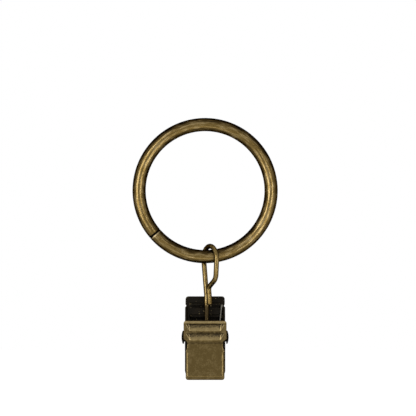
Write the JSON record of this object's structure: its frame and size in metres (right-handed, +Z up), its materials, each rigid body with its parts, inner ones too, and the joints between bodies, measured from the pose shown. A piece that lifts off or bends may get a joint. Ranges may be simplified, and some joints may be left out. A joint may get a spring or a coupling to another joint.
{
  "type": "curtain ring with clip",
  "caption": "Round bent-bar curtain ring with a wire eyelet and a sprung two-plate pinch clip hanging from it.",
  "frame": {"origin": "centre of the ring, in the plane of its bar's centre line", "axes": "+Z up, away from the clip; +Y from the front of the clip to its back, along the ring's axis and the rod; +X to the right, seen from the front"},
  "size_m": [0.0464, 0.0141, 0.0837],
  "materials": {
    "ring_brass": "antique brass plating, dark at the sides and rubbed bright on the crown",
    "wire_brass": "antique brass plated wire, dark in the shade",
    "plate_brass": "antique brass plated pressed sheet, mottled, dark in the recesses",
    "blackened_brass": "blackened, semi-gloss",
    "spring_wire": "dull grey wire"
  },
  "bodies": {
    "ring": {"ring": "ring_brass"},
    "eyelet": {"eyelet": "wire_brass"},
    "clip_back": {"back_plate": "plate_brass", "hinge_pin": "blackened_brass", "torsion_spring": "spring_wire"},
    "clip_front": {"front_plate": "plate_brass"}
  },
  "joints": [
    {"name": "eye_swing", "type": "hinge", "parent": "ring", "child": "eyelet", "pos_m": [0.00162, 0, -0.02106], "axis": [0.9971, 0, 0.0766], "range_deg": [-90, 90]},
    {"name": "clip_swing", "type": "hinge", "parent": "eyelet", "child": "clip_back", "pos_m": [0, 0.00014, -0.04691], "axis": [1, 0, 0], "range_deg": [-24, 10]},
    {"name": "jaw_open", "type": "hinge", "parent": "clip_back", "child": "clip_front", "pos_m": [0, 0.00014, -0.04691], "axis": [-1, 0, 0], "range_deg": [0, 30], "stiffness_Nm_per_rad": 0.03, "springref_deg": -57.3, "deforming": ["torsion_spring"]}
  ]
}
